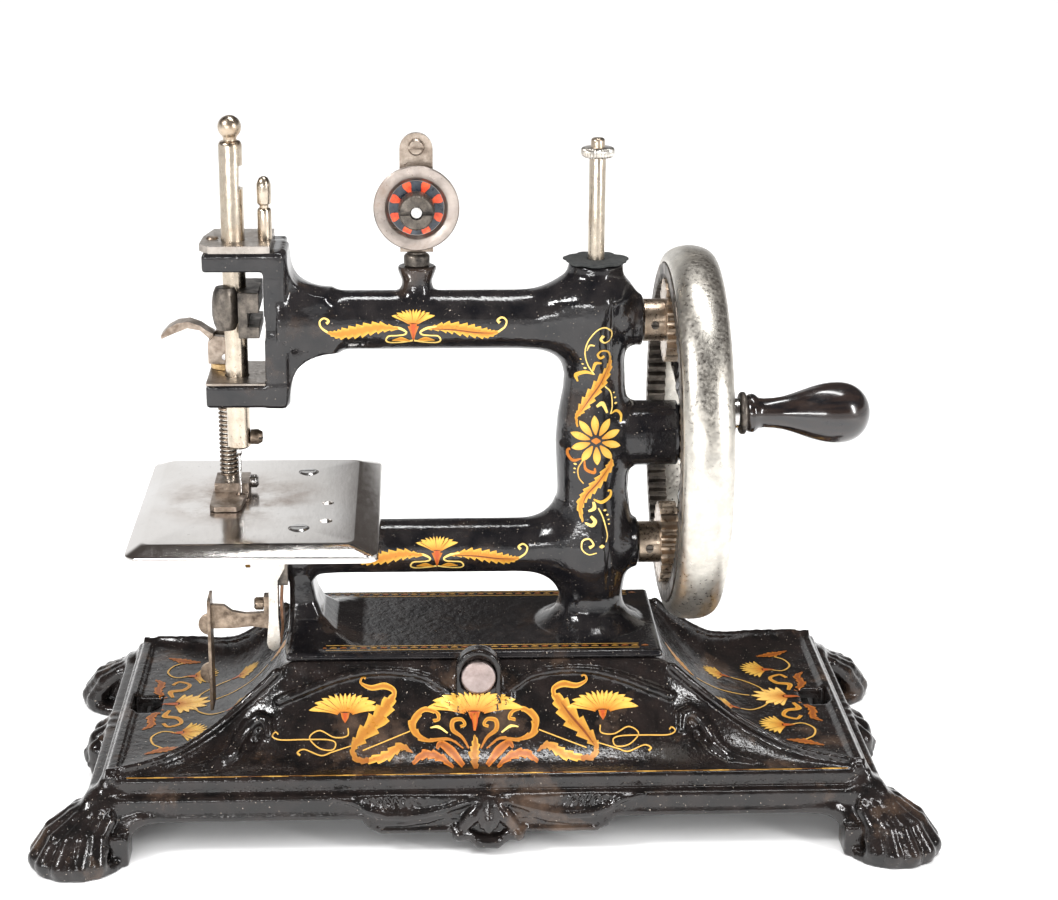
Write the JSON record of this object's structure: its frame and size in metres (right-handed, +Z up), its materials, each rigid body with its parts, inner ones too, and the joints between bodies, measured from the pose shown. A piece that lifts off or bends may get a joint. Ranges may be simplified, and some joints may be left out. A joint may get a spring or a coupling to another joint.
{
  "type": "hand-crank sewing machine",
  "caption": "Small antique hand-crank sewing machine: cast C-frame on a footed base, geared handwheel, needle and presser bars, work plate and thread tension.",
  "frame": {"origin": "under the middle of the base, on the surface that the paw feet stand on", "axes": "+X along the bed towards the handwheel, +Y to the back, +Z up"},
  "size_m": [0.27, 0.144, 0.2128],
  "materials": {
    "japanned_iron": "glossy black japan over cast iron, worn, with gilt transfers",
    "nickel_plate": "worn nickel plate with light pitting",
    "bright_steel": "machined steel, lightly tarnished",
    "dark_steel": "browned steel with some rust",
    "brass": "dull aged brass",
    "ebonised_wood": "turned wood with glossy black lacquer",
    "felt": "dark green-black felt"
  },
  "bodies": {
    "root": {"base_casting": "japanned_iron", "front_disc": "bright_steel", "frame_bolts": "dark_steel", "frame_casting": "japanned_iron", "work_plate": "nickel_plate", "plate_screws": "bright_steel", "head_top_plate": "nickel_plate", "head_plate_screw": "bright_steel", "lower_lug_plate": "nickel_plate", "thread_guide_post": "nickel_plate", "spool_pin": "nickel_plate", "spool_pin_nut": "brass", "felt_washer": "felt", "tension_stem": "dark_steel", "tension_bracket": "bright_steel", "tension_bracket_screw": "bright_steel", "tension_back_disc": "nickel_plate", "tension_front_disc": "nickel_plate", "tension_stud": "bright_steel", "arm_shaft_bush": "brass", "hook_shaft_bush": "brass", "wheel_stud": "bright_steel", "wheel_nut": "dark_steel", "presser_bush": "bright_steel", "lever_block": "bright_steel", "stitch_lever_pin": "dark_steel", "lever_spring": "dark_steel", "side_bar_screw": "dark_steel"},
    "handwheel": {"wheel_rim": "nickel_plate", "ring_gear": "japanned_iron", "wheel_spider": "japanned_iron", "crank_spindle": "bright_steel"},
    "crank_grip": {"crank_grip": "ebonised_wood", "crank_ferrule": "brass"},
    "arm_shaft": {"arm_shaft": "bright_steel", "arm_pinion": "brass", "arm_pinion_screw": "dark_steel", "crank_disc": "bright_steel", "crank_pin": "bright_steel"},
    "hook_shaft": {"hook_shaft": "bright_steel", "hook_pinion": "brass", "hook_pinion_screw": "dark_steel", "looper_hook": "dark_steel", "feed_cam": "dark_steel"},
    "needle_bar": {"needle_bar": "nickel_plate", "yoke_block": "bright_steel", "yoke_clamp": "japanned_iron", "needle_clamp_screw": "bright_steel", "needle": "bright_steel"},
    "presser_bar": {"presser_bar": "bright_steel", "presser_spring": "dark_steel", "presser_foot": "bright_steel", "presser_foot_screw": "bright_steel", "lifter_pin": "bright_steel"},
    "presser_lifter": {"presser_lifter": "dark_steel"},
    "feed_bar": {"feed_dog": "bright_steel"},
    "stitch_lever": {"stitch_lever": "nickel_plate"},
    "side_lever": {"side_bar": "dark_steel", "eared_plate": "japanned_iron"},
    "tension_nut": {"tension_nut": "bright_steel"}
  },
  "joints": [
    {"name": "handwheel_turn", "type": "hinge", "parent": "root", "child": "handwheel", "pos_m": [0.0635, 0, 0.114], "axis": [1, 0, 0], "continuous": true},
    {"name": "grip_turn", "type": "hinge", "parent": "handwheel", "child": "crank_grip", "pos_m": [0.09, -0.043, 0.133], "axis": [1, 0, 0], "continuous": true},
    {"name": "arm_shaft_turn", "type": "hinge", "parent": "root", "child": "arm_shaft", "pos_m": [0, 0, 0.15], "axis": [1, 0, 0], "continuous": true},
    {"name": "hook_shaft_turn", "type": "hinge", "parent": "root", "child": "hook_shaft", "pos_m": [0, 0, 0.078], "axis": [1, 0, 0], "continuous": true},
    {"name": "needle_bar_slide", "type": "slide", "parent": "root", "child": "needle_bar", "axis": [0, 0, 1], "range_m": [-0.0102, 0.0048]},
    {"name": "presser_lift", "type": "slide", "parent": "root", "child": "presser_bar", "axis": [0, 0, 1], "range_m": [0, 0.0022], "stiffness_N_per_m": 300, "springref_m": -0.003, "deforming": ["presser_spring"]},
    {"name": "lifter_turn", "type": "hinge", "parent": "presser_bar", "child": "presser_lifter", "pos_m": [-0.079, 0.009, 0.1378], "axis": [0, 1, 0], "range_deg": [0, 55]},
    {"name": "feed_slide", "type": "slide", "parent": "root", "child": "feed_bar", "axis": [0, 1, 0], "range_m": [-0.001, 0.001]},
    {"name": "stitch_lever_turn", "type": "hinge", "parent": "root", "child": "stitch_lever", "pos_m": [-0.0626, -0.0151, 0.08], "axis": [0, 1, 0], "range_deg": [-2, 12]},
    {"name": "side_lever_turn", "type": "hinge", "parent": "root", "child": "side_lever", "pos_m": [-0.0675, -0.0123, 0.0633], "axis": [1, 0, 0], "range_deg": [-5, 5]},
    {"name": "tension_nut_turn", "type": "hinge", "parent": "root", "child": "tension_nut", "pos_m": [-0.0202, -0.008, 0.1856], "axis": [0, 1, 0], "range_deg": [-180, 180]}
  ],
  "couplings": [
    {"joint": "arm_shaft_turn", "follows": "handwheel_turn", "ratio": 4},
    {"joint": "hook_shaft_turn", "follows": "handwheel_turn", "ratio": 4},
    {"joint": "lifter_turn", "follows": "presser_lift", "rad_per_m": 436.33}
  ]
}
